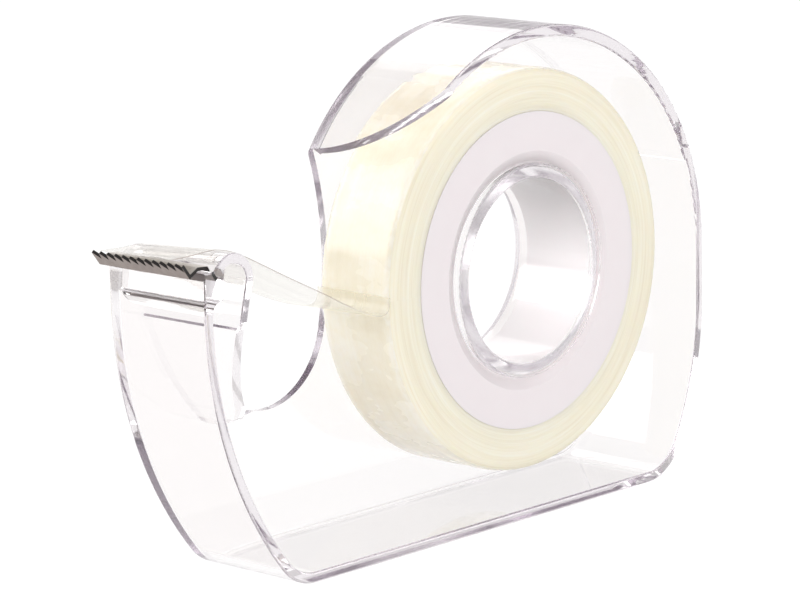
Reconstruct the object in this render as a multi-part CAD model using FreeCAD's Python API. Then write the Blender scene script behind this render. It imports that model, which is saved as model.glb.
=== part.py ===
import FreeCAD, Part

import math
import os

# Hand-held tape dispenser: a one-piece clear moulding with a fixed tubular hub,
# a formed steel cutter, and a roll of tape on a plastic core.
#
# Every piece is drawn about the hub axis: X to the back, Y towards the closed
# side wall, Z up, with y = 0 in the middle plane of the tape.  place() then
# moves it to the part's own frame, whose origin is the middle of the footprint,
# on the surface that the dispenser stands on.

# ---- driving dimensions, in millimetres and degrees ----

TAPE_WIDTH = 12.0
ROLL_R = 25.2
CORE_R = 19.8
CORE_BORE_R = 13.0

SHROUD_R = 30.7            # outer radius of the hood round the roll
AXIS_HEIGHT = 30.4         # hub axis above the underside
TIP_REACH = 61.0           # hub axis to the line of tooth tips
WALL = 1.3                 # thickness of the band
SIDE_WALL = 1.0            # thickness of the closed side
NEAR_EDGE = -8.8           # open edge of the band
FAR_FACE = 7.3             # outer face of the closed side
SIDE_FACE = FAR_FACE - SIDE_WALL

# outer outline of the band: large arcs joined by round corners
FRONT_R = 50.0
FRONT_X = -58.5            # foremost line of the front wall
FRONT_Z = 4.0              # height where the front wall is upright
BACK_R = 38.0
BACK_Z = -8.0              # height where the back wall starts to curve
CORNER_R = 7.0

# hood, by angle from +X round the hub axis
HOOD_END = 145.5           # free tip
THICK_FROM = 21.0          # the thicker stretch of the hood
THICK_TO = 123.5
THICK_EXTRA = 0.3
SWEEP_FROM = 121.0         # where the open edge starts to sweep to the tip
SWEEP_POWER = 1.8          # 2 would be a quarter of an ellipse
SWEEP_POINTS = 9

# closed side's outline between the cutter post and the hood
NOTCH_FLOOR = (-36.5, -12.9)
NOTCH_MIDDLE = (-27.7, -10.9)
NOTCH_RIGHT = (-24.1, -5.0)
HOOD_SIDE = (-23.2, 5.0)

# hub
HUB_CLEARANCE = 0.08
HUB_R = CORE_BORE_R - HUB_CLEARANCE
HUB_BORE_R = 11.6
HUB_STANDOUT = 0.4         # how far the hub's end stands out of the tape's side
LIP_R = 13.4
LIP_GAP = 0.15             # end play between core and lip
END_ROUND = 0.3
MOUTH_R = 12.45            # the bore flares to this at the closed side
MOUTH_DEPTH = 2.3

# core's mouths: a flat seat and a cone
SEAT_R = 13.6
SEAT_DEPTH = 0.8
CONE_R = 14.9

# cutter post: a bar, an arched tape rest and a hanging rear plate
BAR_TOP = 9.0
BAR_BOTTOM = 5.5
BAR_REAR = -55.6
REST_X = -53.9
REST_R = 3.25
REST_Z_NEAR = 7.45         # the rest's crest drops a little towards the closed side
REST_Z_FAR = 6.7
REST_FROM = 128.0          # where the rest's arc starts, round its own centre
PLATE = 1.2                # thickness of tape rest and rear plate
PLATE_BELLY = (-51.4, 4.4)
PLATE_WAIST = (-52.0, 1.6)
PLATE_BOW = (-48.6, -5.4)
PLATE_KNEE = (-43.6, -11.6)
PLATE_FOOT = (-40.6, -12.9)
GUSSET_LOW = 3.9
GUSSET_FAR = 3.8           # the gusset fades out beyond this Y

# free edge of the hanging plate, as (y, z): three points on each of two arcs
EDGE_START = (NEAR_EDGE, 2.4)
EDGE_UPPER = (-5.2, -3.6)
EDGE_MIDDLE = (-1.9, -8.8)
EDGE_LOWER = (0.2, -11.2)
EDGE_END = (SIDE_FACE, -12.4)

RIM_ROUND = 0.25           # rounding of the open rim
SIDE_ROUND = 0.8           # rounding of the closed side's rim
COVE = 0.6                 # inner rounding between band and closed side

# cutter
BLADE_THICKNESS = 0.4
BLADE_NEAR = -7.8
BLADE_FAR = 7.0
TOOTH_COUNT = 12
TOOTH_DEPTH = 0.9
TOOTH_STEEP = 0.12         # share of the pitch taken by a tooth's steep side
BLADE_TIP = (-60.84, 10.18)
BLADE_VALLEY = (-59.75, 8.75)
BLADE_PATH = [BLADE_TIP, BLADE_VALLEY, (-58.5, 9.45), (-57.1, 9.35), (-56.1, 7.9)]

# free end of the tape
FILM = 0.1
FILM_GAP = 0.12
CURL_R = 1.1
SAG = (-38.0, 3.1)
FILM_END = (-60.7, 10.65)

CLEAR = 1.0                # how far a cutting tool runs past what it cuts


# ---- geometry helpers: sections are drawn in the XZ plane ----

def point(x, z, y=0.0):
    return FreeCAD.Vector(x, y, z)


def on_circle(centre, radius, degrees):
    angle = math.radians(degrees)
    return point(centre[0] + radius * math.cos(angle), centre[1] + radius * math.sin(angle))


def offset_point(p, degrees, distance):
    angle = math.radians(degrees)
    return (p[0] + distance * math.cos(angle), p[1] + distance * math.sin(angle))


def heading(centre, target):
    return math.degrees(math.atan2(target[1] - centre[1], target[0] - centre[0]))


def distance(a, b):
    return math.hypot(b[0] - a[0], b[1] - a[1])


def arc(centre, radius, start, end):
    middle = (start + end) / 2.0
    return Part.Arc(*[on_circle(centre, radius, a) for a in (start, middle, end)]).toShape()


def arc_through(a, b, c):
    return Part.Arc(point(*a), point(*b), point(*c)).toShape()


def line(a, b):
    return Part.LineSegment(a, b).toShape()


def polygon(corners):
    """Edges of a closed outline through (x, z) corners."""
    points = [point(*c) for c in corners]
    return Part.makePolygon(points + points[:1]).Edges


def prism(edges, y_from, y_to):
    """A closed outline in the XZ plane, pushed along Y."""
    face = Part.Face(Part.Wire(edges))
    face.translate(FreeCAD.Vector(0, y_from, 0))
    return face.extrude(FreeCAD.Vector(0, y_to - y_from, 0))


def ruled(near_edges, y_near, far_edges, y_far):
    """A solid between two outlines with the same number of edges."""
    wires = []
    for edges, y in ((near_edges, y_near), (far_edges, y_far)):
        wire = Part.Wire(edges)
        wire.translate(FreeCAD.Vector(0, y, 0))
        wires.append(wire)
    return Part.makeLoft(wires, True, True)


def turned(edges):
    """A solid of revolution about the hub axis; the section lies in the XY plane."""
    return Part.Face(Part.Wire(edges)).revolve(FreeCAD.Vector(0, 0, 0), FreeCAD.Vector(0, 1, 0), 360)


def radial(r, y):
    return FreeCAD.Vector(r, y, 0)


def cylinder(radius, y_from, y_to):
    return Part.makeCylinder(radius, y_to - y_from, FreeCAD.Vector(0, y_from, 0), FreeCAD.Vector(0, 1, 0))


def place(shape):
    """From hub-centred drawing to the part's own frame."""
    moved = shape.copy()
    middle_x = (SHROUD_R - TIP_REACH) / 2.0
    middle_y = (NEAR_EDGE + FAR_FACE) / 2.0
    moved.translate(FreeCAD.Vector(-middle_x, -middle_y, AXIS_HEIGHT))
    return moved


# ---- band: base, walls and hood in one strip ----

def corner(big_centre, big_radius, side):
    """Centre of the bottom corner arc that blends a wall arc into the base."""
    z = -AXIS_HEIGHT + CORNER_R
    drop = big_centre[1] - z
    reach = math.sqrt((big_radius - CORNER_R) ** 2 - drop ** 2)
    return (big_centre[0] + side * reach, z)


def band_outline(inset):
    """Edges from the tip of the hood, round the back and base, to the front's top."""
    back = (SHROUD_R - BACK_R, BACK_Z)
    front = (FRONT_X + FRONT_R, FRONT_Z)
    back_corner = corner(back, BACK_R, 1)
    front_corner = corner(front, FRONT_R, -1)
    back_turn = heading(back, back_corner)
    front_turn = heading(front, front_corner) + 360.0
    right = SHROUD_R - inset
    floor = -AXIS_HEIGHT + inset
    return [
        arc((0, 0), right, HOOD_END, 0.0),
        line(point(right, 0.0), point(right, BACK_Z)),
        arc(back, BACK_R - inset, 0.0, back_turn),
        arc(back_corner, CORNER_R - inset, back_turn, -90.0),
        line(point(back_corner[0], floor), point(front_corner[0], floor)),
        arc(front_corner, CORNER_R - inset, 270.0, front_turn),
        arc(front, FRONT_R - inset, front_turn, 180.0),
        line(point(FRONT_X + inset, FRONT_Z), point(FRONT_X + inset, BAR_TOP)),
    ]


def band():
    outer = band_outline(0.0)
    inner = band_outline(WALL)
    tip = line(on_circle((0, 0), SHROUD_R, HOOD_END), on_circle((0, 0), SHROUD_R - WALL, HOOD_END))
    top = line(point(FRONT_X, BAR_TOP), point(FRONT_X + WALL, BAR_TOP))
    return prism(outer + [top] + inner[::-1] + [tip], NEAR_EDGE, FAR_FACE)


def hood_thickening():
    outer = SHROUD_R - WALL / 2.0
    inner = SHROUD_R - WALL - THICK_EXTRA
    edges = [
        arc((0, 0), outer, THICK_FROM, THICK_TO),
        line(on_circle((0, 0), outer, THICK_TO), on_circle((0, 0), inner, THICK_TO)),
        arc((0, 0), inner, THICK_TO, THICK_FROM),
        line(on_circle((0, 0), inner, THICK_FROM), on_circle((0, 0), outer, THICK_FROM)),
    ]
    return prism(edges, NEAR_EDGE, FAR_FACE)


def sweep_line(radius):
    """The hood's swept edge at one radius, as a superellipse over angle and Y."""
    y_from = NEAR_EDGE - RIM_ROUND
    points = []
    for i in range(SWEEP_POINTS):
        turn = math.radians(90.0 * i / (SWEEP_POINTS - 1))
        along = math.sin(turn) ** (2.0 / SWEEP_POWER)
        inward = 1.0 - math.cos(turn) ** (2.0 / SWEEP_POWER)
        p = on_circle((0, 0), radius, SWEEP_FROM + along * (HOOD_END - SWEEP_FROM))
        p.y = y_from + inward * (FAR_FACE - y_from)
        points.append(p)
    curve = Part.BSplineCurve()
    curve.interpolate(points)
    return curve.toShape()


def hood_sweep():
    """What is cut away so that the hood narrows to the side wall at its tip."""
    inside = sweep_line(SHROUD_R - WALL - THICK_EXTRA - CLEAR)
    outside = sweep_line(SHROUD_R + CLEAR)
    depth = FAR_FACE - NEAR_EDGE + 2.0 * CLEAR
    return Part.makeRuledSurface(inside, outside).extrude(FreeCAD.Vector(0, -depth, 0))


# ---- cutter post and closed side ----

def rear_face(rest_z):
    """Edges of the tape rest and the plate's rear side, from the rest's front end."""
    rest_end = (REST_X + REST_R, rest_z)
    return [
        arc((REST_X, rest_z), REST_R, REST_FROM, 0.0),
        arc_through(rest_end, PLATE_BELLY, PLATE_WAIST),
        arc_through(PLATE_WAIST, PLATE_BOW, PLATE_KNEE),
        arc_through(PLATE_KNEE, PLATE_FOOT, NOTCH_FLOOR),
    ]


def front_face(rest_z):
    """The same line, one plate thickness further forward and down."""
    inner_end = (REST_X + REST_R - PLATE, rest_z)
    belly = offset_point(PLATE_BELLY, 180.0, PLATE)
    waist = offset_point(PLATE_WAIST, 180.0, PLATE)
    bow = offset_point(PLATE_BOW, 210.0, PLATE)
    knee = offset_point(PLATE_KNEE, 228.0, PLATE)
    foot = offset_point(PLATE_FOOT, 252.0, PLATE)
    floor = offset_point(NOTCH_FLOOR, 270.0, PLATE)
    return [
        arc((REST_X, rest_z), REST_R - PLATE, REST_FROM, 0.0),
        arc_through(inner_end, belly, waist),
        arc_through(waist, bow, knee),
        arc_through(knee, foot, floor),
    ]


def first_and_last(edges):
    return edges[0].Vertexes[0].Point, edges[-1].Vertexes[-1].Point


def between(one_side, other_side):
    """Closed outline between two open chains of edges that run the same way."""
    start_a, end_a = first_and_last(one_side)
    start_b, end_b = first_and_last(other_side)
    return one_side + [line(end_a, end_b)] + other_side[::-1] + [line(start_b, start_a)]


def hanging_plate():
    near = between(rear_face(REST_Z_NEAR), front_face(REST_Z_NEAR))
    far = between(rear_face(REST_Z_FAR), front_face(REST_Z_FAR))
    return ruled(near, NEAR_EDGE, far, SIDE_FACE).cut(plate_taper())


def side_on(y, z):
    """A point of an outline drawn in the YZ plane, in front of the whole post."""
    return FreeCAD.Vector(FRONT_X - CLEAR, y, z)


def plate_taper():
    """Cuts the hanging plate so that its free edge runs back to the side wall."""
    low = EDGE_END[1] - 3.0 * CLEAR
    out = NEAR_EDGE - CLEAR
    outline = [
        Part.Arc(side_on(*EDGE_START), side_on(*EDGE_UPPER), side_on(*EDGE_MIDDLE)).toShape(),
        Part.Arc(side_on(*EDGE_MIDDLE), side_on(*EDGE_LOWER), side_on(*EDGE_END)).toShape(),
        line(side_on(*EDGE_END), side_on(EDGE_END[0], low)),
        line(side_on(EDGE_END[0], low), side_on(out, low)),
        line(side_on(out, low), side_on(out, EDGE_START[1])),
        line(side_on(out, EDGE_START[1]), side_on(*EDGE_START)),
    ]
    reach = NOTCH_FLOOR[0] - FRONT_X + 2.0 * CLEAR
    return Part.Face(Part.Wire(outline)).extrude(FreeCAD.Vector(reach, 0, 0))


def bar_section(rest_z):
    centre = (REST_X, rest_z)
    middle = offset_point(centre, REST_FROM - 10.0, REST_R - PLATE / 2.0)
    rest_front = offset_point(centre, REST_FROM, REST_R)
    return polygon([
        (FRONT_X, BAR_BOTTOM),
        (BAR_REAR, BAR_BOTTOM),
        offset_point(centre, REST_FROM, REST_R - PLATE),
        middle,
        rest_front,
        (rest_front[0] - CLEAR, BAR_TOP),
        (FRONT_X, BAR_TOP),
    ])


def anchor_bar():
    """The solid bar behind the front wall that the cutter is pressed into."""
    return ruled(bar_section(REST_Z_NEAR), NEAR_EDGE, bar_section(REST_Z_FAR), SIDE_FACE)


def gusset():
    """Hollow rounding under the bar, fading out before the closed side."""
    wall_x = FRONT_X + WALL
    deep = BAR_REAR - wall_x
    tall = BAR_BOTTOM - GUSSET_LOW
    slope = math.sqrt(0.5)
    section = [
        arc_through((wall_x, GUSSET_LOW), (wall_x + (1.0 - slope) * deep, GUSSET_LOW + slope * tall),
                    (BAR_REAR, BAR_BOTTOM)),
        line(point(BAR_REAR, BAR_BOTTOM), point(FRONT_X + WALL / 2.0, BAR_BOTTOM)),
        line(point(FRONT_X + WALL / 2.0, BAR_BOTTOM), point(FRONT_X + WALL / 2.0, GUSSET_LOW)),
        line(point(FRONT_X + WALL / 2.0, GUSSET_LOW), point(wall_x, GUSSET_LOW)),
    ]
    corners = [(GUSSET_FAR, GUSSET_LOW - CLEAR), (GUSSET_FAR, GUSSET_LOW), (SIDE_FACE, BAR_BOTTOM),
               (SIDE_FACE + CLEAR, BAR_BOTTOM), (SIDE_FACE + CLEAR, GUSSET_LOW - CLEAR)]
    points = [FreeCAD.Vector(wall_x, y, z) for y, z in corners]
    fade = Part.Face(Part.makePolygon(points + points[:1])).extrude(FreeCAD.Vector(deep + CLEAR, 0, 0))
    return prism(section, NEAR_EDGE, SIDE_FACE).cut(fade)


def side_wall():
    rest_front = offset_point((REST_X, REST_Z_FAR), REST_FROM, REST_R)
    seat_rear = (rest_front[0] - CLEAR, BAR_TOP)
    hood_tip = offset_point((0, 0), HOOD_END, SHROUD_R)
    outline = band_outline(0.0) + [
        line(point(FRONT_X, BAR_TOP), point(*seat_rear)),
        line(point(*seat_rear), point(*rest_front)),
    ] + rear_face(REST_Z_FAR) + [
        arc_through(NOTCH_FLOOR, NOTCH_MIDDLE, NOTCH_RIGHT),
        arc_through(NOTCH_RIGHT, HOOD_SIDE, hood_tip),
    ]
    return prism(outline, SIDE_FACE, FAR_FACE)


# ---- hub and body ----

def hub():
    """The fixed tube that carries the roll, turned from its section, with a retaining lip."""
    end = -TAPE_WIDTH / 2.0 - HUB_STANDOUT
    lip_back = -TAPE_WIDTH / 2.0 + SEAT_DEPTH - LIP_GAP
    flare = MOUTH_R - HUB_BORE_R
    flare_radius = (MOUTH_DEPTH ** 2 + flare ** 2) / (2.0 * flare)
    flare_middle = flare_radius - math.sqrt(flare_radius ** 2 - (MOUTH_DEPTH / 2.0) ** 2)
    bulge = END_ROUND * (1.0 - math.sqrt(0.5))
    return turned([
        line(radial(MOUTH_R, FAR_FACE), radial(HUB_R, FAR_FACE)),
        line(radial(HUB_R, FAR_FACE), radial(HUB_R, lip_back)),
        line(radial(HUB_R, lip_back), radial(LIP_R, lip_back)),
        line(radial(LIP_R, lip_back), radial(LIP_R, end + END_ROUND)),
        Part.Arc(radial(LIP_R, end + END_ROUND), radial(LIP_R - bulge, end + bulge),
                 radial(LIP_R - END_ROUND, end)).toShape(),
        line(radial(LIP_R - END_ROUND, end), radial(HUB_BORE_R + END_ROUND, end)),
        Part.Arc(radial(HUB_BORE_R + END_ROUND, end), radial(HUB_BORE_R + bulge, end + bulge),
                 radial(HUB_BORE_R, end + END_ROUND)).toShape(),
        line(radial(HUB_BORE_R, end + END_ROUND), radial(HUB_BORE_R, FAR_FACE - MOUTH_DEPTH)),
        Part.Arc(radial(HUB_BORE_R, FAR_FACE - MOUTH_DEPTH),
                 radial(HUB_BORE_R + flare_middle, FAR_FACE - MOUTH_DEPTH / 2.0),
                 radial(MOUTH_R, FAR_FACE)).toShape(),
    ])


def dispenser_body(blade):
    sweep = hood_sweep()
    closed_side = side_wall().cut(cylinder(HUB_R, SIDE_FACE - CLEAR, FAR_FACE + CLEAR))
    frame = band().cut(sweep)
    body = frame.fuse([closed_side, hanging_plate(), anchor_bar(), gusset(), hub()])
    body = round_inside(body.cut(blade).removeSplitter())
    body = body.fuse(hood_thickening().cut(sweep)).removeSplitter()
    return round_rims(body)


def edges_in_plane(shape, y):
    flat = 0.001
    return [e for e in shape.Edges if abs(e.BoundBox.YMin - y) < flat and abs(e.BoundBox.YMax - y) < flat]


def edges_near(edges, path, within):
    """The edges whose middles lie close to a path."""
    chosen = []
    for edge in edges:
        middle = Part.Vertex(edge.valueAt((edge.FirstParameter + edge.LastParameter) / 2.0))
        if middle.distToShape(path)[0] < within:
            chosen.append(edge)
    return chosen


def edges_on_outline(body, outline, y):
    path = Part.Wire(outline)
    path.translate(FreeCAD.Vector(0, y, 0))
    return edges_near(edges_in_plane(body, y), path, 0.001)


def round_inside(body):
    """The cove all along the corner between the band and the closed side."""
    return body.makeFillet(COVE, edges_on_outline(body, band_outline(WALL), SIDE_FACE))


def round_rims(body):
    """Moulded edges are never sharp: round the open rim, then the closed side's rim."""
    body = body.makeFillet(RIM_ROUND, edges_in_plane(body, NEAR_EDGE))
    return body.makeFillet(SIDE_ROUND, edges_on_outline(body, band_outline(0.0)[:-1], FAR_FACE))


# ---- cutter ----

def strip(path, thickness):
    """A bent strip's section: the path with half the thickness on each side."""
    half = thickness / 2.0
    left = []
    right = []
    for i, here in enumerate(path):
        before = path[max(i - 1, 0)]
        after = path[min(i + 1, len(path) - 1)]
        first = heading(before, here) if i > 0 else heading(here, after)
        second = heading(here, after) if i < len(path) - 1 else first
        turn = math.radians((second - first) / 2.0)
        normal = (first + second) / 2.0 + 90.0
        reach = half / math.cos(turn)
        left.append(offset_point(here, normal, reach))
        right.append(offset_point(here, normal, -reach))
    return polygon(left + right[::-1])


def tooth_gap(far_side, pitch):
    """What is ground away beside one tooth: a long slope and a steep side."""
    rise = heading(BLADE_VALLEY, BLADE_TIP)
    across = rise + 90.0
    near_side = far_side - pitch
    shoulder = offset_point(BLADE_TIP, rise, BLADE_THICKNESS / 20.0)
    valley = offset_point(BLADE_TIP, rise, -TOOTH_DEPTH)
    above = offset_point(BLADE_TIP, rise, CLEAR)
    corners = [(shoulder, far_side), (valley, near_side + TOOTH_STEEP * pitch), (shoulder, near_side),
               (above, near_side), (above, far_side)]
    points = []
    for where, y in corners:
        x, z = offset_point(where, across, -CLEAR)
        points.append(point(x, z, y))
    direction = math.radians(across)
    through = FreeCAD.Vector(math.cos(direction), 0, math.sin(direction)) * (2.0 * CLEAR)
    return Part.Face(Part.makePolygon(points + points[:1])).extrude(through)


def cutter_blade():
    blade = prism(strip(BLADE_PATH, BLADE_THICKNESS), BLADE_NEAR, BLADE_FAR)
    pitch = (BLADE_FAR - BLADE_NEAR) / TOOTH_COUNT
    return blade.cut([tooth_gap(BLADE_FAR - i * pitch, pitch) for i in range(TOOTH_COUNT)])


# ---- tape ----

def tape_core():
    """A ring with a seat and a cone at each mouth, for the hub's lip."""
    half = TAPE_WIDTH / 2.0
    seat = half - SEAT_DEPTH
    section = [(CORE_R, -half), (CORE_R, half), (CONE_R, half), (SEAT_R, seat), (CORE_BORE_R, seat),
               (CORE_BORE_R, -seat), (SEAT_R, -seat), (CONE_R, -half)]
    points = [radial(r, y) for r, y in section]
    return turned(Part.makePolygon(points + points[:1]).Edges)


def tape_winding():
    half = TAPE_WIDTH / 2.0
    return cylinder(ROLL_R, -half, half).cut(cylinder(CORE_R, -half, half))


def meeting(a, a_heading, b, b_heading):
    """Where two straight runs, given by a point and a heading, cross."""
    ax, az = math.cos(math.radians(a_heading)), math.sin(math.radians(a_heading))
    bx, bz = math.cos(math.radians(b_heading)), math.sin(math.radians(b_heading))
    t = ((b[0] - a[0]) * bz - (b[1] - a[1]) * bx) / (ax * bz - az * bx)
    return (a[0] + t * ax, a[1] + t * az)


def film_line(side):
    """Edges of the free end from the cutter to the roll; side shifts off the middle line."""
    rest = (REST_X, REST_Z_NEAR)
    rest_r = REST_R + FILM_GAP + FILM / 2.0
    curl = (-ROLL_R - FILM_GAP - FILM / 2.0 - CURL_R, 0.0)
    touch = heading(rest, FILM_END) - math.degrees(math.acos(rest_r / distance(rest, FILM_END)))
    leave = heading(rest, SAG) + math.degrees(math.acos(rest_r / distance(rest, SAG)))
    join = heading(curl, SAG) + math.degrees(math.acos(CURL_R / distance(curl, SAG)))
    on_rest = offset_point(rest, leave, rest_r + side)
    on_curl = offset_point(curl, join, CURL_R - side)
    bend = meeting(on_rest, leave - 90.0, on_curl, join + 90.0)
    tip = offset_point(FILM_END, touch, side)
    return [
        line(point(*tip), on_circle(rest, rest_r + side, touch)),
        arc(rest, rest_r + side, touch, leave),
        line(point(*on_rest), point(*bend)),
        line(point(*bend), point(*on_curl)),
        arc(curl, CURL_R - side, join, 360.0),
    ]


def tape_leader():
    outline = between(film_line(FILM / 2.0), film_line(-FILM / 2.0))
    return prism(outline, -TAPE_WIDTH / 2.0, TAPE_WIDTH / 2.0)


def main():
    os.makedirs("parts", exist_ok=True)
    blade = cutter_blade()
    pieces = {
        "dispenser_body": dispenser_body(blade),
        "cutter_blade": blade,
        "tape_core": tape_core(),
        "tape_winding": tape_winding(),
        "tape_leader": tape_leader(),
    }
    for node, shape in pieces.items():
        placed = place(shape)
        print(node, placed.isValid(), len(placed.Solids), round(placed.Volume, 1))
        placed.exportStep("parts/" + node + ".step")


main()
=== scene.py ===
import math

import bmesh
import bpy
from mathutils import Matrix, Vector


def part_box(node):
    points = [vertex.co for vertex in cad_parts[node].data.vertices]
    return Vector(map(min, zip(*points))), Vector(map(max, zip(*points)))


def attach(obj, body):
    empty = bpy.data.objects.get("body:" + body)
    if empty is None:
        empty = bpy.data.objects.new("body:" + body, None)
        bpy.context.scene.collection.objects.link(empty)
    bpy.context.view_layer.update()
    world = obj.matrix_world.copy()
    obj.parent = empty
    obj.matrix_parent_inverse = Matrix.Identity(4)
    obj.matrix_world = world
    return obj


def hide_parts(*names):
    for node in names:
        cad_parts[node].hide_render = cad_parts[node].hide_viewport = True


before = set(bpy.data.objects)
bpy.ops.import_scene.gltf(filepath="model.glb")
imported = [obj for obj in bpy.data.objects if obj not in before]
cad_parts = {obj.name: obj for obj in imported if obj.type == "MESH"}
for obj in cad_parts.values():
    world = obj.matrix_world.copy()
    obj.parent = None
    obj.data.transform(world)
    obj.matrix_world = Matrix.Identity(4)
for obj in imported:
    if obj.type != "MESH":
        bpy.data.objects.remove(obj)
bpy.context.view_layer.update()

# Blender works in metres. Outlines and patterns are worked out in millimetres, and MM turns those
# into metres. X is to the back, Y to the closed side and Z up. The pieces made here are drawn
# round the hub axis.

MM = 0.001
core_low, core_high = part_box("tape_core")
AXIS = (core_low + core_high) / 2            # the hub axis, in the tape's middle plane


# ---- camera ----

CAMERA_AZIMUTH = -46.85
CAMERA_ELEVATION = 11.43
CAMERA_ROLL = -1.12
CAMERA_DISTANCE = 467.6 * MM
CAMERA_LENS = 173.0
CAMERA_SENSOR = 36.0
CAMERA_NEAR = 0.01
CAMERA_FAR = 50.0
CAMERA_TARGET = AXIS + Vector((-17.17, 0.0, -1.69)) * MM


def make_camera():
    azimuth = math.radians(CAMERA_AZIMUTH)
    elevation = math.radians(CAMERA_ELEVATION)
    roll = math.radians(CAMERA_ROLL)
    back = Vector((
        math.sin(azimuth) * math.cos(elevation),
        -math.cos(azimuth) * math.cos(elevation),
        math.sin(elevation),
    ))
    right = (-back).cross(Vector((0, 0, 1))).normalized()
    up = right.cross(-back)
    tilted_right = right * math.cos(roll) + up * math.sin(roll)
    tilted_up = up * math.cos(roll) - right * math.sin(roll)
    data = bpy.data.cameras.new("camera")
    data.lens = CAMERA_LENS
    data.sensor_width = CAMERA_SENSOR
    data.clip_start = CAMERA_NEAR
    data.clip_end = CAMERA_FAR
    camera = bpy.data.objects.new("camera", data)
    camera.matrix_world = Matrix((
        (tilted_right.x, tilted_up.x, back.x, 0),
        (tilted_right.y, tilted_up.y, back.y, 0),
        (tilted_right.z, tilted_up.z, back.z, 0),
        (0, 0, 0, 1),
    ))
    camera.location = CAMERA_TARGET + back * CAMERA_DISTANCE
    bpy.context.scene.collection.objects.link(camera)
    bpy.context.scene.camera = camera


# ---- node helpers: a value or colour may be a plain one or the output of another node ----

def node_tree(owner):
    owner.use_nodes = True
    tree = owner.node_tree
    tree.nodes.clear()
    return tree


def add(tree, kind, put=None, **properties):
    """A node of that kind, with its properties, and with put's values in the sockets that it names."""
    node = tree.nodes.new(kind)
    for name, value in properties.items():
        setattr(node, name, value)
    for socket, value in (put or {}).items():
        node.inputs[socket].default_value = value
    return node


def join(tree, source, target):
    tree.links.new(source, target)


def feed(tree, source, target):
    """Puts a plain number in a socket, or joins another node's output to it."""
    if isinstance(source, (int, float)):
        target.default_value = source
    else:
        join(tree, source, target)


def ramp(tree, source, stops, interpolation="LINEAR"):
    """A colour ramp fed by source, with stops as (position, colour)."""
    node = tree.nodes.new("ShaderNodeValToRGB")
    node.color_ramp.interpolation = interpolation
    elements = node.color_ramp.elements
    while len(elements) > 1:
        elements.remove(elements[-1])
    for i, (position, colour) in enumerate(stops):
        element = elements[0] if i == 0 else elements.new(position)
        element.position = position
        element.color = (*colour, 1.0)
    join(tree, source, node.inputs["Fac"])
    return node.outputs["Color"]


def math_node(tree, operation, *values):
    node = add(tree, "ShaderNodeMath", operation=operation)
    for socket, value in zip(node.inputs, values):
        feed(tree, value, socket)
    return node.outputs[0]


def times(tree, a, b):
    return math_node(tree, "MULTIPLY", a, b)


def map_range(tree, source, low, high, to_low, to_high):
    node = add(tree, "ShaderNodeMapRange", {
        "From Min": low, "From Max": high, "To Min": to_low, "To Max": to_high})
    join(tree, source, node.inputs["Value"])
    return node.outputs["Result"]


def mixed(tree, factor, a, b):
    """A blend of two colours."""
    node = add(tree, "ShaderNodeMix", data_type="RGBA")
    join(tree, factor, node.inputs["Factor"])
    for socket, value in ((node.inputs[6], a), (node.inputs[7], b)):
        if isinstance(value, tuple):
            socket.default_value = (*value, 1.0)
        else:
            join(tree, value, socket)
    return node.outputs[2]


def combine(tree, x, y, z):
    node = add(tree, "ShaderNodeCombineXYZ")
    for socket, value in zip(node.inputs, (x, y, z)):
        feed(tree, value, socket)
    return node.outputs[0]


def split(tree, vector):
    node = add(tree, "ShaderNodeSeparateXYZ")
    join(tree, vector, node.inputs[0])
    return node.outputs


def stretched(tree, place, factors):
    node = add(tree, "ShaderNodeVectorMath", operation="MULTIPLY")
    join(tree, place, node.inputs[0])
    node.inputs[1].default_value = factors
    return node.outputs[0]


def noise(tree, place, scale, detail=2.0, roughness=0.5):
    node = add(tree, "ShaderNodeTexNoise", {"Scale": scale, "Detail": detail, "Roughness": roughness})
    join(tree, place, node.inputs["Vector"])
    return node.outputs[0]


def bump(tree, height, distance, strength, normal=None):
    node = add(tree, "ShaderNodeBump", {"Strength": strength, "Distance": distance})
    join(tree, height, node.inputs["Height"])
    if normal is not None:
        join(tree, normal, node.inputs["Normal"])
    return node.outputs["Normal"]


def object_place(tree, centre):
    """Object coordinates measured from centre, in millimetres."""
    coords = add(tree, "ShaderNodeTexCoord")
    shift = add(tree, "ShaderNodeVectorMath", operation="SUBTRACT")
    join(tree, coords.outputs["Object"], shift.inputs[0])
    shift.inputs[1].default_value = centre
    scale = add(tree, "ShaderNodeVectorMath", {"Scale": 1.0 / MM}, operation="SCALE")
    join(tree, shift.outputs[0], scale.inputs[0])
    return scale.outputs[0]


def round_hub(tree, place):
    """Radius and angle round the hub axis, and the position across the tape, of a place."""
    x, y, z = split(tree, place)
    square = math_node(tree, "ADD", times(tree, x, x), times(tree, z, z))
    return math_node(tree, "SQRT", square), math_node(tree, "ARCTAN2", z, x), y


# ---- studio: a light table, with a lit backdrop and soft lamps round it ----

FLOOR_RADIUS = 3.0
FLOOR_SIDES = 96
FLOOR_Z = -0.1 * MM

SURROUND_STRENGTH = 0.6
SURROUND = [                     # colour by the height of a direction: 0 is level and 1 is straight up
    (0.0, (0.82, 0.79, 0.835)),
    (0.22, (0.80, 0.77, 0.80)),
    (0.45, (0.86, 0.84, 0.86)),
    (0.75, (0.95, 0.95, 0.95)),
    (1.0, (1.0, 1.0, 1.0)),
]
BACKDROP = (0.71, 0.67, 0.21)    # where the lit backdrop stands, as a direction from the object
BACKDROP_EDGE = 0.86             # cosines of the angles from there at which it starts and is full
BACKDROP_FULL = 0.96
BACKDROP_COLOUR = (1.3, 1.28, 1.28)

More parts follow.
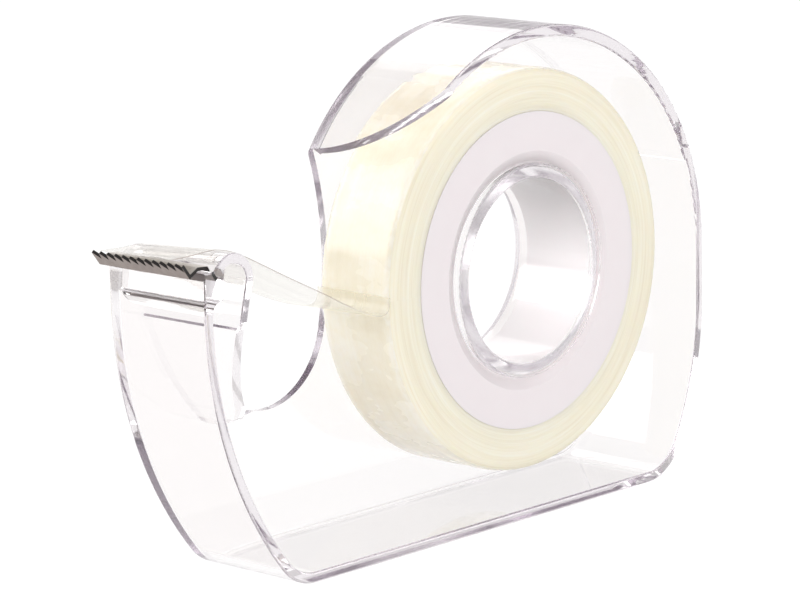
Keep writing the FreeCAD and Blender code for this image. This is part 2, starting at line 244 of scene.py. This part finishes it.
LAMPS = [                        # name, place, aim, size, watts
    ("key", (-0.75, -0.45, 0.70), (0, 0, 0.03), (0.6, 0.5), 2.6),
    ("top", (0.1, 0.1, 1.1), (0, 0, 0.03), (0.9, 0.7), 1.2),
    ("front", (-0.1, -1.1, 0.30), (0, 0, 0.03), (0.8, 0.4), 1.15),
    ("fill", (0.34, -0.42, 0.34), (0.01, 0, 0.03), (0.25, 0.25), 0.4),
    ("left", (-0.70, 0.75, 0.45), (0, 0, 0.04), (0.7, 0.6), 4.6),
    ("back", (0.6, 0.7, 0.6), (0, 0, 0.03), (0.6, 0.5), 1.2),
]


def make_world():
    """White where it is seen, also straight through clear plastic, and soft grey where it lights."""
    world = bpy.data.worlds.new("studio")
    bpy.context.scene.world = world
    tree = node_tree(world)
    output = add(tree, "ShaderNodeOutputWorld")
    direction = add(tree, "ShaderNodeTexCoord").outputs["Generated"]
    height = split(tree, direction)["Z"]
    facing = add(tree, "ShaderNodeVectorMath", operation="DOT_PRODUCT")
    join(tree, direction, facing.inputs[0])
    facing.inputs[1].default_value = BACKDROP
    behind = map_range(tree, facing.outputs["Value"], BACKDROP_EDGE, BACKDROP_FULL, 0.0, 1.0)
    sky = mixed(tree, behind, ramp(tree, height, SURROUND, "EASE"), BACKDROP_COLOUR)
    seen = add(tree, "ShaderNodeBackground", {"Color": (1, 1, 1, 1), "Strength": 1.0})
    lit = add(tree, "ShaderNodeBackground", {"Strength": SURROUND_STRENGTH})
    join(tree, sky, lit.inputs["Color"])
    path = add(tree, "ShaderNodeLightPath")
    bounces = math_node(tree, "ADD", path.outputs["Glossy Depth"], path.outputs["Diffuse Depth"])
    straight = math_node(tree, "LESS_THAN", bounces, 0.5)
    through = times(tree, path.outputs["Is Transmission Ray"], straight)
    mix = add(tree, "ShaderNodeMixShader")
    join(tree, math_node(tree, "MAXIMUM", path.outputs["Is Camera Ray"], through), mix.inputs[0])
    join(tree, lit.outputs[0], mix.inputs[1])
    join(tree, seen.outputs[0], mix.inputs[2])
    join(tree, mix.outputs[0], output.inputs["Surface"])


def make_lamp(name, place, aim, size, watts):
    data = bpy.data.lights.new(name, "AREA")
    data.shape = "RECTANGLE"
    data.size, data.size_y = size
    data.energy = watts
    lamp = bpy.data.objects.new(name, data)
    lamp.location = place
    lamp.rotation_euler = (Vector(place) - Vector(aim)).to_track_quat("Z", "Y").to_euler()
    bpy.context.scene.collection.objects.link(lamp)


def paper():
    """Pale paper lit from below."""
    material = bpy.data.materials.new("paper")
    tree = node_tree(material)
    output = add(tree, "ShaderNodeOutputMaterial")
    surface = add(tree, "ShaderNodeBsdfPrincipled", {
        "Base Color": (0.16, 0.16, 0.16, 1), "Roughness": 0.9, "Specular IOR Level": 0.1,
        "Emission Color": (1, 1, 1, 1), "Emission Strength": 0.89})
    join(tree, surface.outputs[0], output.inputs["Surface"])
    material.cycles.emission_sampling = "NONE"
    return material


def make_floor():
    mesh = bpy.data.meshes.new("floor")
    disc = bmesh.new()
    bmesh.ops.create_circle(disc, cap_ends=True, segments=FLOOR_SIDES, radius=FLOOR_RADIUS)
    disc.to_mesh(mesh)
    disc.free()
    mesh.materials.append(paper())
    floor = bpy.data.objects.new("floor", mesh)
    floor.location = (0, 0, FLOOR_Z)
    bpy.context.scene.collection.objects.link(floor)


# ---- materials ----

def new_material(name):
    material = bpy.data.materials.new(name)
    tree = node_tree(material)
    output = add(tree, "ShaderNodeOutputMaterial")
    surface = add(tree, "ShaderNodeBsdfPrincipled")
    return material, tree, output, surface


def glow_inside(surface, weight, radius, scale):
    surface.inputs["Subsurface Weight"].default_value = weight
    surface.inputs["Subsurface Radius"].default_value = radius
    surface.inputs["Subsurface Scale"].default_value = scale


def through_for_lamps(tree, output, surface, tint):
    """Lets the lamps shine through a clear surface."""
    path = add(tree, "ShaderNodeLightPath")
    clear = add(tree, "ShaderNodeBsdfTransparent", {"Color": (*tint, 1.0)})
    mix = add(tree, "ShaderNodeMixShader")
    join(tree, path.outputs["Is Shadow Ray"], mix.inputs[0])
    join(tree, surface.outputs[0], mix.inputs[1])
    join(tree, clear.outputs[0], mix.inputs[2])
    join(tree, mix.outputs[0], output.inputs["Surface"])


HUB_WORN_R = 13.0                # the plastic is worn dull out to this radius,
HUB_CLEAN_R = 13.6               # and isn't worn from this one


def clear_plastic():
    """Scuffed and a little wavy, tinted through its thickness, and dull on the hub, where the core turns."""
    material, tree, output, surface = new_material("clear_plastic")
    place = object_place(tree, (0, 0, 0))
    surface.inputs["Base Color"].default_value = (0.976, 0.962, 0.957, 1)
    surface.inputs["Transmission Weight"].default_value = 1.0
    surface.inputs["IOR"].default_value = 1.55
    radius, _, _ = round_hub(tree, place)
    worn = map_range(tree, radius, HUB_WORN_R, HUB_CLEAN_R, 0.10, 0.0)
    scuffs = noise(tree, stretched(tree, place, (1.0, 1.0, 0.35)), 0.9, 3.0, 0.6)
    scuffed = map_range(tree, scuffs, 0.35, 0.75, 0.015, 0.07)
    join(tree, math_node(tree, "ADD", scuffed, worn), surface.inputs["Roughness"])
    flow = noise(tree, place, 0.16, 1.0, 0.4)
    fine = noise(tree, stretched(tree, place, (1.0, 0.3, 1.0)), 1.3)
    waves = bump(tree, flow, 0.006 * MM, 0.5)
    join(tree, bump(tree, fine, 0.0015 * MM, 0.5, waves), surface.inputs["Normal"])
    through_for_lamps(tree, output, surface, (0.975, 0.97, 0.97))
    tint = add(tree, "ShaderNodeVolumeAbsorption", {"Color": (0.78, 0.74, 0.785, 1), "Density": 38.0})
    join(tree, tint.outputs[0], output.inputs["Volume"])
    return material


def cutter_steel():
    """Stamped steel with painted light: lighter on faces turned up and darker on faces turned down, and
    painted shade, nearly black, on faces turned across the tape.
    """
    material, tree, output, surface = new_material("cutter_steel")
    place = object_place(tree, AXIS)
    _, y, z = split(tree, add(tree, "ShaderNodeTexCoord").outputs["Normal"])
    # painted shade: faces turned across the tape, such as the teeth's flanks, go nearly black and less
    # metallic
    shaded_flanks = map_range(tree, math_node(tree, "ABSOLUTE", y), 0.2, 0.5, 0.0, 1.0)
    # painted light: faces turned up are lighter and faces turned down darker
    facing_up_light = map_range(tree, z, -0.2, 0.2, 0.0, 1.0)
    grain = noise(tree, stretched(tree, place, (9.0, 0.6, 9.0)), 2.0, 3.0, 0.6)
    stain = noise(tree, place, 0.8, 3.0, 0.6)
    below = mixed(tree, stain, (0.22, 0.18, 0.165), (0.36, 0.31, 0.285))
    above = mixed(tree, stain, (0.50, 0.46, 0.42), (0.66, 0.62, 0.58))
    flat = mixed(tree, facing_up_light, below, above)
    join(tree, mixed(tree, shaded_flanks, flat, (0.012, 0.009, 0.008)), surface.inputs["Base Color"])
    join(tree, map_range(tree, shaded_flanks, 0.0, 1.0, 1.0, 0.2), surface.inputs["Metallic"])
    join(tree, map_range(tree, grain, 0.3, 0.7, 0.25, 0.42), surface.inputs["Roughness"])
    join(tree, bump(tree, grain, 0.01 * MM, 0.5), surface.inputs["Normal"])
    join(tree, surface.outputs[0], output.inputs["Surface"])
    return material


BORE_LIGHT_FROM = 13.25           # from here inwards the core's bore is painted paler, as painted light
BORE_LIGHT_TO = 13.05


def core_plastic():
    """The core's matt plastic, with turning marks on its sides and its bore painted paler as painted light.
    """
    material, tree, output, surface = new_material("core_plastic")
    place = object_place(tree, AXIS)
    radius, angle, across = round_hub(tree, place)
    cloud = noise(tree, place, 0.25)
    colour = mixed(tree, cloud, (0.84, 0.777, 0.79), (0.87, 0.812, 0.82))
    # painted light: the bore's surface is painted paler than the rest of the core
    bore_light = map_range(tree, radius, BORE_LIGHT_TO, BORE_LIGHT_FROM, 1.0, 0.0)
    join(tree, mixed(tree, bore_light, colour, (0.96, 0.94, 0.945)), surface.inputs["Base Color"])
    join(tree, map_range(tree, cloud, 0.3, 0.7, 0.34, 0.46), surface.inputs["Roughness"])
    glow_inside(surface, 0.15, (1.0, 0.8, 0.85), 1.5 * MM)
    turned = noise(tree, combine(tree, times(tree, radius, 6.0), times(tree, angle, 0.6), across), 1.0)
    grain = noise(tree, place, 14.0, 2.0, 0.6)
    rings = bump(tree, turned, 0.02 * MM, 0.4)
    join(tree, bump(tree, grain, 0.01 * MM, 0.3, rings), surface.inputs["Normal"])
    join(tree, surface.outputs[0], output.inputs["Surface"])
    return material


TAPE_HALF = 6.0
ROLL_R = 25.2
CORE_R = 19.8
TREAD_FROM = 24.9                # outside this radius the winding shows its outer turn
EDGE_TONE_AND_HIGHLIGHT_FROM = 4.5                  # distance from the middle plane where the tread's paler edges, partly painted highlight, start, and where they are full
EDGE_TONE_AND_HIGHLIGHT_FULL = 5.1                  # and where they are full


def tape_side():
    """The wound tape's flat sides, where the edges of the turns show as rings."""
    material, tree, output, surface = new_material("wound_tape_side")
    radius, angle, _ = round_hub(tree, object_place(tree, (0, 0, 0)))
    slow_angle = times(tree, angle, 0.9)
    bands = noise(tree, combine(tree, times(tree, radius, 1.6), slow_angle, 0.0), 1.0, 3.0, 0.6)
    lines = noise(tree, combine(tree, times(tree, radius, 9.0), slow_angle, 3.0), 1.0, 2.0, 0.6)
    tone = math_node(tree, "ADD", times(tree, bands, 0.6), times(tree, lines, 0.4))
    colour = ramp(tree, tone, [
        (0.36, (0.82, 0.755, 0.59)),
        (0.5, (0.885, 0.835, 0.675)),
        (0.64, (0.92, 0.89, 0.76)),
    ])
    join(tree, colour, surface.inputs["Base Color"])
    join(tree, map_range(tree, lines, 0.3, 0.7, 0.38, 0.55), surface.inputs["Roughness"])
    glow_inside(surface, 0.3, (1.0, 0.8, 0.45), 2.0 * MM)
    join(tree, bump(tree, lines, 0.03 * MM, 0.5), surface.inputs["Normal"])
    join(tree, surface.outputs[0], output.inputs["Surface"])
    return material


def tape_tread():
    """The wound tape's outer turn: glossy film over trapped air, paler near its edges, partly the askew
    turns' edges and partly painted highlight on the rounded shoulders.
    """
    material, tree, output, surface = new_material("wound_tape_tread")
    _, angle, across = round_hub(tree, object_place(tree, (0, 0, 0)))
    around = times(tree, angle, ROLL_R)

    def pattern(across_scale, around_scale, seed, detail, roughness):
        place = combine(tree, times(tree, across, across_scale), times(tree, around, around_scale), seed)
        return noise(tree, place, 1.0, detail, roughness)

    streaks = pattern(1.1, 0.07, 0.0, 3.0, 0.55)
    patches = pattern(0.10, 0.16, 5.0, 3.0, 0.55)
    fine = pattern(5.0, 1.4, 9.0, 2.0, 0.6)
    spots = pattern(3.0, 0.8, 2.0, 2.0, 0.6)
    tone = math_node(tree, "ADD", times(tree, streaks, 0.22), times(tree, patches, 0.63))
    tone = math_node(tree, "ADD", tone, times(tree, fine, 0.15))
    colour = ramp(tree, tone, [
        (0.38, (0.80, 0.735, 0.575)),
        (0.5, (0.855, 0.80, 0.65)),
        (0.62, (0.895, 0.86, 0.75)),
    ])
    # painted highlight on the rounded shoulders, mixed with the askew turns' paler edges: the tread is paler
    # near its edges, in dashes
    edge = map_range(tree, math_node(tree, "ABSOLUTE", across), EDGE_TONE_AND_HIGHLIGHT_FROM, EDGE_TONE_AND_HIGHLIGHT_FULL, 0.0, 1.0)
    dashes = map_range(tree, spots, 0.42, 0.58, 0.2, 0.6)
    colour = mixed(tree, times(tree, edge, dashes), colour, (0.92, 0.90, 0.82))
    join(tree, colour, surface.inputs["Base Color"])
    join(tree, map_range(tree, patches, 0.35, 0.65, 0.16, 0.34), surface.inputs["Roughness"])
    glow_inside(surface, 0.25, (1.0, 0.85, 0.5), 2.0 * MM)
    surface.inputs["Coat Weight"].default_value = 0.35
    surface.inputs["Coat Roughness"].default_value = 0.12
    waves = bump(tree, patches, 0.10 * MM, 0.4)
    join(tree, bump(tree, streaks, 0.03 * MM, 0.4, waves), surface.inputs["Normal"])
    join(tree, surface.outputs[0], output.inputs["Surface"])
    return material


ROLL_TINT_FROM = -33.0           # the film takes the roll's tint from here, along X,
ROLL_TINT_FULL = -27.0           # and has all of it here
EDGE_SHADE_FROM = -5.78            # where the painted shade along the film's near edge starts and is full, across the tape
EDGE_SHADE_FULL = -5.9
FREE_TO = -34.0                  # the painted shade on the edge is strong while the film is free in the air, and faint where it lies on the roll
STUCK_FROM = -30.0               # and pale where it lies on the roll


def film_clear():
    """A single layer of tape: hazy, creamier where it leaves the roll, with painted shade along its near
    edge.
    """
    material, tree, output, surface = new_material("tape_film")
    place = object_place(tree, (0, 0, 0))
    along, across, _ = split(tree, place)
    haze = noise(tree, stretched(tree, place, (0.05, 0.5, 0.05)), 1.0)
    pale = mixed(tree, haze, (0.94, 0.92, 0.89), (0.97, 0.96, 0.94))
    near_roll = map_range(tree, along, ROLL_TINT_FROM, ROLL_TINT_FULL, 0.0, 1.0)
    body = mixed(tree, near_roll, pale, (0.95, 0.915, 0.80))
    # painted shade: a dark line along the film's near edge, strong where the film is free in the air and
    # faint on the roll
    edge = times(tree, map_range(tree, across, EDGE_SHADE_FROM, EDGE_SHADE_FULL, 0.0, 1.0),
                 map_range(tree, along, FREE_TO, STUCK_FROM, 1.0, 0.15))
    join(tree, mixed(tree, edge, body, (0.50, 0.42, 0.38)), surface.inputs["Base Color"])
    join(tree, map_range(tree, haze, 0.3, 0.7, 0.12, 0.22), surface.inputs["Roughness"])
    join(tree, bump(tree, haze, 0.02 * MM, 0.3), surface.inputs["Normal"])
    clear = add(tree, "ShaderNodeBsdfTransparent", {"Color": (0.99, 0.985, 0.97, 1)})
    cover = math_node(tree, "MAXIMUM", map_range(tree, haze, 0.3, 0.7, 0.24, 0.34), times(tree, edge, 0.7))
    mix = add(tree, "ShaderNodeMixShader")
    join(tree, cover, mix.inputs[0])
    join(tree, clear.outputs[0], mix.inputs[1])
    join(tree, surface.outputs[0], mix.inputs[2])
    join(tree, mix.outputs[0], output.inputs["Surface"])
    return material


def dress(node_name, material):
    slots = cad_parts[node_name].data.materials
    slots.clear()
    slots.append(material)


# ---- pieces ----

def make_piece(name, vertices, faces, materials, body, replaced):
    """A smooth piece that stands for a CAD node. Its vertices are measured from the hub axis."""
    mesh = bpy.data.meshes.new(name)
    mesh.from_pydata([tuple(v) for v in vertices], [], faces)
    mesh.update()
    for face in mesh.polygons:
        face.use_smooth = True
    for material in materials:
        mesh.materials.append(material)
    piece = bpy.data.objects.new(name, mesh)
    piece.location = AXIS
    bpy.context.scene.collection.objects.link(piece)
    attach(piece, body)
    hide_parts(replaced)
    return piece


# ---- body mesh: the CAD's facets made round ----

WELD = 0.002 * MM                # CAD points nearer than this are one point
CREASE = math.cos(math.radians(28.0))        # faces that meet at more than this angle have a sharp edge
TURN = math.cos(math.radians(1.3))           # an edge is split if the surface turns more than this along it,
SHORTEST = 0.35 * MM                         # and if the edge is longer than this
ROUNDS = 3
MOST_PUSH = 0.12                 # how far a middle point may move, as a share of its edge
SAME_SURFACE = 0.97              # above this cosine the two sides of an edge are one surface

FADE_FROM = 60.0                 # where the hood starts to thin, in degrees round the hub from the back,
FADE_TO = 123.5                  # and where its thicker stretch ends
FADE_PAST = 1.01                 # share of that stretch up to which points are moved
THICK_INSIDE = 29.1 * MM         # the inside of the hood's thicker stretch
THICK_EXTRA = 0.3 * MM
FADE_SLACK = 0.06 * MM           # points from this far within that radius
FADE_REACH = 0.28 * MM           # to this far beyond it are moved


def welded(mesh):
    """The mesh's points and triangles, with the points that its CAD faces share made one."""
    mesh.calc_loop_triangles()
    places = {}
    points = []
    index = []
    for vertex in mesh.vertices:
        key = tuple(round(c / WELD) for c in vertex.co)
        if key not in places:
            places[key] = len(points)
            points.append(vertex.co.copy())
        index.append(places[key])
    triangles = []
    for triangle in mesh.loop_triangles:
        corners = tuple(index[v] for v in triangle.vertices)
        if len(set(corners)) == 3:
            triangles.append(corners)
    return points, triangles


def fade_thick_hood(points):
    """Thins the hood's thicker stretch slowly towards its free end, where the CAD has a step."""
    for p in points:
        x, z = p.x - AXIS.x, p.z - AXIS.z
        radius = math.hypot(x, z)
        share = (math.degrees(math.atan2(z, x)) - FADE_FROM) / (FADE_TO - FADE_FROM)
        inside = THICK_INSIDE - FADE_SLACK < radius < THICK_INSIDE + FADE_REACH
        if inside and 0 < share < FADE_PAST:
            push = THICK_EXTRA * min(share, 1.0) / radius
            p.x += x * push
            p.z += z * push


def weighted_normals(points, triangles):
    """A normal for each corner of each triangle: the mean over the faces that meet there without a crease."""
    flat = []
    around = [[] for _ in points]
    for t, (a, b, c) in enumerate(triangles):
        flat.append((points[b] - points[a]).cross(points[c] - points[a]))
        for v in (a, b, c):
            around[v].append(t)
    facing = [n.normalized() for n in flat]
    normals = []
    for t, corners in enumerate(triangles):
        own = []
        for v in corners:
            total = Vector((0, 0, 0))
            for other in around[v]:
                if facing[t].dot(facing[other]) > CREASE:
                    total += flat[other]
            own.append(total.normalized())
        normals.append(own)
    return normals


def bulge(edge, na, nb):
    """How far the middle of a chord lies from the curved surface whose normals at its ends are na and nb."""
    return (nb * edge.dot(nb) - na * edge.dot(na)) / 8


def middle_point(a, b, sides):
    """The middle of an edge, moved out to the surfaces on its two sides."""
    edge = b - a
    middle = (a + b) / 2
    pushes = [bulge(edge, na, nb) for na, nb in sides]
    means = [(na + nb).normalized() for na, nb in sides]
    share = means[0].dot(means[-1])
    if len(sides) < 2 or share > SAME_SURFACE:
        push = sum(pushes, Vector((0, 0, 0))) / len(pushes)
    else:
        first, second = (p.dot(n) for p, n in zip(pushes, means))
        push = means[0] * (first - share * second) + means[1] * (second - share * first)
        push = push / (1 - share * share)
    most = edge.length * MOST_PUSH
    if push.length > most:
        push *= most / push.length
    return middle + push


def edge_key(v, w):
    return (min(v, w), max(v, w))


def edge_normals(triangles, normals):
    """For each edge, the pair of normals at its ends on each of its sides."""
    edges = {}
    for (a, b, c), (na, nb, nc) in zip(triangles, normals):
        for v, w, nv, nw in ((a, b, na, nb), (b, c, nb, nc), (c, a, nc, na)):
            pair = (nv, nw) if v < w else (nw, nv)
            edges.setdefault(edge_key(v, w), []).append(pair)
    return edges


def split_triangle(points, corners, middles):
    """The triangles that replace one whose edges ab, bc and ca have these middle points, or None."""
    a, b, c = corners
    ab, bc, ca = middles
    cut = sum(m is not None for m in middles)
    if cut == 0:
        return [corners]
    while ab is None or (cut == 2 and ca is not None):
        a, b, c, ab, bc, ca = b, c, a, bc, ca, ab
    if cut == 1:
        return [(a, ab, c), (ab, b, c)]
    if cut == 3:
        return [(a, ab, ca), (ab, b, bc), (ca, bc, c), (ab, bc, ca)]
    if (points[ab] - points[c]).length < (points[a] - points[bc]).length:
        return [(ab, b, bc), (a, ab, c), (ab, bc, c)]
    return [(ab, b, bc), (a, ab, bc), (a, bc, c)]


def refined(points, triangles):
    """Splits the edges along which the surface turns, so that arcs look round through clear plastic."""
    halves = {}
    edges = edge_normals(triangles, weighted_normals(points, triangles))
    for (v, w), sides in edges.items():
        turns = any(nv.dot(nw) < TURN for nv, nw in sides)
        if turns and (points[w] - points[v]).length > SHORTEST:
            halves[(v, w)] = len(points)
            points.append(middle_point(points[v], points[w], sides))
    finer = []
    for a, b, c in triangles:
        middles = [halves.get(edge_key(v, w)) for v, w in ((a, b), (b, c), (c, a))]
        finer += split_triangle(points, (a, b, c), middles)
    return finer


def make_body():
    points, triangles = welded(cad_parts["dispenser_body"].data)
    fade_thick_hood(points)
    for _ in range(ROUNDS):
        triangles = refined(points, triangles)
    normals = weighted_normals(points, triangles)
    moulding = make_piece("clear_moulding", [p - AXIS for p in points], triangles, [clear_plastic()],
                          "dispenser", "dispenser_body")
    moulding.data.normals_split_custom_set([n for own in normals for n in own])


# ---- wound tape ----

ROLL_STEPS = 288
SIDE_INSET = 0.06                # the sides lie this far inside the tape's full width
RING_STEP = 0.1
RING_COUNT = 43
RELIEF = 0.035
RELIEF_WAVES = ((1.9, 0.7, 0.5), (4.7, 2.1, 0.3), (11.3, 0.4, 0.25), (23.1, 1.3, 0.2))    # rate, start, size
FAR_SIDE_SHIFT = 3.0             # moves the far side's rings, so that the two sides differ

# the rounded shoulders, as (distance from the middle plane, radius)
NEAR_SHOULDER = (
    (5.90, 24.25), (5.82, 24.5), (5.70, 24.75), (5.52, 24.95), (5.30, 25.08), (5.0, 25.15), (4.6, 25.18),
)
FAR_SHOULDER = (
    (5.3, 25.12), (5.5, 25.03), (5.7, 24.85), (5.84, 24.6), (5.92, 24.3),
)

TREAD_NEAR = -4.2                # the tread between the shoulders
TREAD_FAR = 5.0
TREAD_STEPS = 30
TREAD_INSET = 0.03
TREAD_WAVES = ((1.1, 0.6, 0.02), (2.9, 0.0, 0.01))


def waves_at(place, waves):
    return sum(size * math.sin(rate * place + start) for rate, start, size in waves)


def ring_relief(radius):
    """How far a turn's edge stands out of the tape's side."""
    return RELIEF * waves_at(radius, RELIEF_WAVES)


def roll_profile():
    """Points (y, radius) of the winding's section, from the core's near side round to its far side."""
    radii = [CORE_R + i * RING_STEP for i in range(RING_COUNT)]
    points = [(-TAPE_HALF + SIDE_INSET + ring_relief(radius), radius) for radius in radii]
    points += [(-y, radius) for y, radius in NEAR_SHOULDER]
    for i in range(TREAD_STEPS + 1):
        y = TREAD_NEAR + i * (TREAD_FAR - TREAD_NEAR) / TREAD_STEPS
        points.append((y, ROLL_R - TREAD_INSET + waves_at(y, TREAD_WAVES)))
    points += FAR_SHOULDER
    for radius in reversed(radii):
        points.append((TAPE_HALF - SIDE_INSET - ring_relief(radius + FAR_SIDE_SHIFT), radius))
    return points


def make_winding():
    profile = roll_profile()
    count = len(profile)
    vertices = []
    for step in range(ROLL_STEPS):
        angle = 2 * math.pi * step / ROLL_STEPS
        for y, radius in profile:
            vertices.append((radius * math.cos(angle) * MM, y * MM, radius * math.sin(angle) * MM))
    faces = []
    for step in range(ROLL_STEPS):
        here = step * count
        after = (step + 1) % ROLL_STEPS * count
        for i in range(count):
            j = (i + 1) % count
            faces.append((here + i, here + j, after + j, after + i))
    winding = make_piece("tape_winding_rings", vertices, faces, [tape_side(), tape_tread()],
                         "tape_roll", "tape_winding")
    for face in winding.data.polygons:
        on_tread = math.hypot(face.center.x, face.center.z) > TREAD_FROM * MM
        face.material_index = int(on_tread)


# ---- free end of the tape ----

# near and far edge of the film from the cutter to the roll, as (x, z) in millimetres from the hub axis:
# over the cutter's bar and the tape rest, sagging in the air, then on the roll, where the two edges meet
NEAR_LINE = [
    (-60.6, 10.62), (-57.4, 10.66), (-53.9, 10.74), (-50.8, 9.95), (-47.6, 8.45), (-42.4, 5.8), (-36.9, 3.1),
    (-32.3, 0.75), (-29.3, -0.65), (-27.3, -1.35), (-25.9, -1.2), (-25.36, -0.45), (-25.31, 0.6),
]
FAR_LINE = [
    (-60.6, 10.3), (-57.4, 10.2), (-53.9, 10.12), (-50.8, 9.2), (-47.6, 7.5), (-42.4, 4.6), (-36.0, 1.4),
    (-31.8, -0.3), (-28.9, -1.15), (-27.0, -1.5), (-25.9, -1.25), (-25.36, -0.45), (-25.31, 0.6),
]
FILM_STEPS = 12
FILM_ROWS = 24
FILM_THICKNESS = 0.06


def smooth_line(points, steps):
    """A Catmull-Rom line through the points."""
    line = []
    for i in range(len(points) - 1):
        p0 = Vector(points[max(i - 1, 0)])
        p1 = Vector(points[i])
        p2 = Vector(points[i + 1])
        p3 = Vector(points[min(i + 2, len(points) - 1)])
        for step in range(steps):
            t = step / steps
            slope = (p2 - p0) * t
            bend = (2 * p0 - 5 * p1 + 4 * p2 - p3) * t * t
            twist = (3 * p1 - p0 - 3 * p2 + p3) * t * t * t
            line.append(0.5 * ((2 * p1) + slope + bend + twist))
    line.append(Vector(points[-1]))
    return line


def make_film():
    lines = list(zip(smooth_line(NEAR_LINE, FILM_STEPS), smooth_line(FAR_LINE, FILM_STEPS)))
    vertices = []
    for near, far in lines:
        for i in range(FILM_ROWS + 1):
            share = i / FILM_ROWS
            p = near.lerp(far, share)
            vertices.append(Vector((p.x, -TAPE_HALF + 2 * TAPE_HALF * share, p.y)) * MM)
    width = FILM_ROWS + 1
    faces = []
    for i in range(len(lines) - 1):
        for j in range(FILM_ROWS):
            here = i * width + j
            faces.append((here, here + 1, here + width + 1, here + width))
    film = make_piece("tape_film_strip", vertices, faces, [film_clear()],
                      "tape_end", "tape_leader")
    thick = film.modifiers.new("thickness", "SOLIDIFY")
    thick.thickness = FILM_THICKNESS * MM
    thick.offset = 0.0


# ---- the scene ----

EDGE_BOUNCES = 96                # light runs far inside a clear wall before it leaves by an edge
FILM_LAYERS = 24

make_camera()
make_world()
make_floor()
for lamp in LAMPS:
    make_lamp(*lamp)

dress("cutter_blade", cutter_steel())
dress("tape_core", core_plastic())
make_body()
make_winding()
make_film()

scene = bpy.context.scene
scene.view_settings.view_transform = "Standard"
scene.cycles.max_bounces = EDGE_BOUNCES
scene.cycles.transmission_bounces = EDGE_BOUNCES
scene.cycles.glossy_bounces = EDGE_BOUNCES
scene.cycles.transparent_max_bounces = FILM_LAYERS
scene.cycles.use_denoising = True
